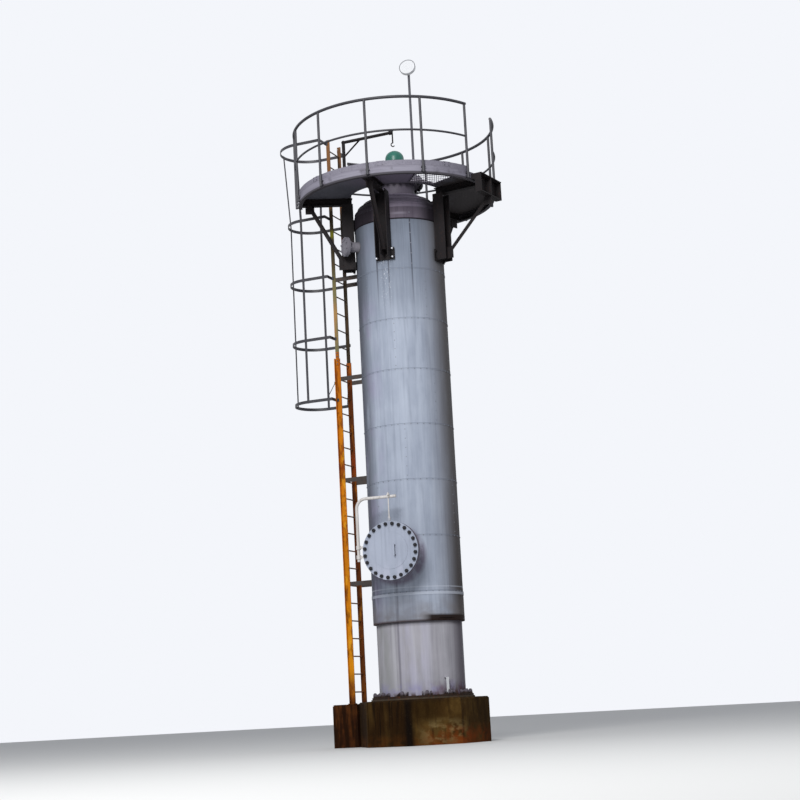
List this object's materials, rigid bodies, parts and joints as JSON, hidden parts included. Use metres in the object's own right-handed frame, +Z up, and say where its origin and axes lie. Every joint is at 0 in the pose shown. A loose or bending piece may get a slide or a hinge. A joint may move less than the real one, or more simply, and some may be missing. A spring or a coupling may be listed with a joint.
{
  "type": "distillation column",
  "caption": "Insulated distillation column on a concrete pedestal, with side and top manholes, a caged ladder and a ring platform with guardrail.",
  "frame": {"origin": "centre of the pedestal underside, on the column axis", "axes": "+Z up along the column, -Y towards the side the picture shows, +X to its right"},
  "size_m": [3.708, 3.4109, 12.0874],
  "materials": {
    "pedestal_concrete": "weathered concrete, green and rust stained",
    "grout": "matt mortar",
    "base_steel": "rusting paint",
    "rusted_steel": "dark rusting steel",
    "skirt_paint": "weathered light grey paint",
    "shell_steel": "dull primer",
    "nozzle_steel": "dull grey-brown paint",
    "jacket_sheet": "weathered blue-grey sheet, streaked",
    "dome_sheet": "dirty purple-grey sheet",
    "neck_paint": "matt grey paint",
    "cover_paint": "matt grey paint",
    "stud_steel": "dark oily steel",
    "valve_paint": "semi-gloss teal enamel",
    "davit_paint": "pale worn paint",
    "upper_nozzle_paint": "light grey paint",
    "platform_paint": "dark weathered paint",
    "deck_plate_paint": "dark matt plate",
    "grating_steel": "dull galvanised",
    "toe_paint": "dusty light grey paint",
    "rail_paint": "dark grey paint",
    "ladder_orange": "rust-stained orange-yellow paint",
    "ladder_olive": "worn olive paint with rust",
    "rung_steel": "worn rusty steel",
    "clip_yellow": "worn yellow paint",
    "plinth_concrete": "dark rust-stained concrete",
    "lamp_pole": "grey paint",
    "lamp_white": "white lens and housing",
    "bright_strap": "bright metal"
  },
  "bodies": {
    "root": {"pedestal": "pedestal_concrete", "grout": "grout", "base_ring": "base_steel", "anchor_bolts": "rusted_steel", "skirt": "skirt_paint", "bottom_head": "shell_steel", "bottoms_nozzle": "nozzle_steel", "shell": "shell_steel", "jacket_foot": "jacket_sheet", "jacket_lower": "jacket_sheet", "jacket_middle": "jacket_sheet", "jacket_upper": "jacket_sheet", "top_head": "shell_steel", "dome_cover": "dome_sheet", "top_neck": "neck_paint", "top_cover": "cover_paint", "top_studs": "stud_steel", "vent_valve": "valve_paint", "top_davit": "platform_paint", "side_neck": "neck_paint", "side_cover": "cover_paint", "side_studs": "stud_steel", "side_davit": "davit_paint", "upper_nozzle": "upper_nozzle_paint", "feed_nozzle": "nozzle_steel", "vapour_nozzle": "nozzle_steel", "return_nozzle": "nozzle_steel", "brackets": "platform_paint", "deck_frame": "platform_paint", "deck_plate": "deck_plate_paint", "deck_grating": "grating_steel", "toe_plate": "toe_paint", "guardrail_near": "rail_paint", "guardrail_far": "rail_paint", "bridge_seat": "platform_paint", "ladder_lower": "ladder_orange", "ladder_upper": "ladder_olive", "ladder_rungs": "rung_steel", "ladder_clips": "clip_yellow", "ladder_plinth": "plinth_concrete", "cage_hoops": "rail_paint", "cage_straps": "rail_paint", "lamp_post": "lamp_pole", "lamp_head": "lamp_white", "earth_strap": "bright_strap"}
  },
  "joints": []
}
